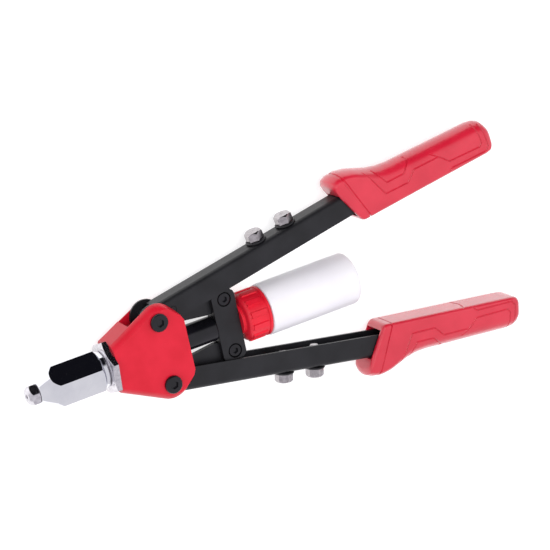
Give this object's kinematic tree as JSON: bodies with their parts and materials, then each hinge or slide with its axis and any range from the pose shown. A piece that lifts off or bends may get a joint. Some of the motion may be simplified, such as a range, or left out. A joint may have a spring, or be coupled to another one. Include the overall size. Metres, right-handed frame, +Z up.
{
  "type": "hand riveter",
  "caption": "Long-arm two-hand lever riveter: slotted head with a hexagonal nose, two hinged channel arms with moulded grips, a sliding crosspiece and a screw-on bottle.",
  "frame": {"origin": "on the surface that the tool lies on, under the middle of its bounding box", "axes": "+X runs rearwards along the tool's axis from nosepiece to grips, +Y towards the upper arm, +Z up, normal to the plane in which the arms swing"},
  "size_m": [0.439, 0.1852, 0.0436],
  "materials": {
    "chrome": "polished chrome plate",
    "zinc": "bright zinc plate",
    "plain_steel": "ground steel",
    "black_steel": "satin black powder coat on steel",
    "black_gloss": "smooth glossy black on steel",
    "red_head": "red paint on a cast head, fine texture",
    "red_grip": "moulded red plastic with a soft sheen",
    "red_collar": "moulded red plastic, ribbed",
    "milky_bottle": "translucent milky polyethylene"
  },
  "bodies": {
    "head": {"head_body": "red_head", "nosepiece": "chrome", "barrel": "chrome", "lock_nut": "zinc", "upper_pivot_bolt": "black_steel", "upper_pivot_nut": "black_steel", "lower_pivot_bolt": "black_steel", "lower_pivot_nut": "black_steel"},
    "upper_arm": {"upper_arm_channel": "black_steel", "upper_grip": "red_grip", "upper_inner_bar": "black_steel", "upper_pivot_bush": "plain_steel", "upper_link_pin": "black_steel", "upper_front_bolt": "zinc", "upper_front_washer": "black_steel", "upper_front_nut": "zinc", "upper_rear_bolt": "zinc", "upper_rear_washer": "black_steel", "upper_rear_nut": "zinc"},
    "lower_arm": {"lower_arm_channel": "black_steel", "lower_grip": "red_grip", "lower_inner_bar": "black_steel", "lower_pivot_bush": "plain_steel", "lower_link_pin": "black_steel", "lower_front_bolt": "zinc", "lower_front_washer": "black_steel", "lower_front_nut": "zinc", "lower_rear_bolt": "zinc", "lower_rear_washer": "black_steel", "lower_rear_nut": "zinc"},
    "yoke": {"crosspiece": "black_steel", "pull_tube": "black_gloss", "jaw_case": "plain_steel", "bottle_collar": "red_collar", "upper_yoke_screw": "black_steel", "lower_yoke_screw": "black_steel"},
    "upper_link": {"upper_link": "black_steel"},
    "lower_link": {"lower_link": "black_steel"},
    "jaws": {"jaw_a": "plain_steel", "jaw_b": "plain_steel", "jaw_pusher": "plain_steel", "jaw_spring": "plain_steel"},
    "bottle": {"bottle": "milky_bottle"}
  },
  "joints": [
    {"name": "upper_arm_hinge", "type": "hinge", "parent": "head", "child": "upper_arm", "pos_m": [-0.10804, 0.026, 0.0218], "axis": [0, 0, 1], "range_deg": [-6, 45]},
    {"name": "lower_arm_hinge", "type": "hinge", "parent": "head", "child": "lower_arm", "pos_m": [-0.10804, -0.026, 0.0218], "axis": [0, 0, 1], "range_deg": [-45, 6]},
    {"name": "yoke_slide", "type": "slide", "parent": "head", "child": "yoke", "axis": [1, 0, 0], "range_m": [-0.00967, 0.00146]},
    {"name": "upper_link_hinge", "type": "hinge", "parent": "yoke", "child": "upper_link", "pos_m": [-0.04654, 0.0219, 0.0218], "axis": [0, 0, 1], "range_deg": [-15.26, 2.47]},
    {"name": "lower_link_hinge", "type": "hinge", "parent": "yoke", "child": "lower_link", "pos_m": [-0.04654, -0.0219, 0.0218], "axis": [0, 0, 1], "range_deg": [-2.47, 15.26]},
    {"name": "jaw_slide", "type": "slide", "parent": "yoke", "child": "jaws", "axis": [1, 0, 0], "range_m": [0, 0.003], "stiffness_N_per_m": 500, "springref_m": -0.003, "deforming": ["jaw_spring"]},
    {"name": "bottle_twist", "type": "hinge", "parent": "yoke", "child": "bottle", "pos_m": [-0.01394, 0, 0.0218], "axis": [1, 0, 0], "range_deg": [0, 180]}
  ],
  "couplings": [
    {"joint": "lower_arm_hinge", "follows": "upper_arm_hinge", "ratio": -1},
    {"joint": "yoke_slide", "follows": "upper_arm_hinge", "m_per_rad": -0.012058},
    {"joint": "upper_link_hinge", "follows": "upper_arm_hinge", "ratio": -0.3279},
    {"joint": "lower_link_hinge", "follows": "upper_arm_hinge", "ratio": 0.3279}
  ]
}
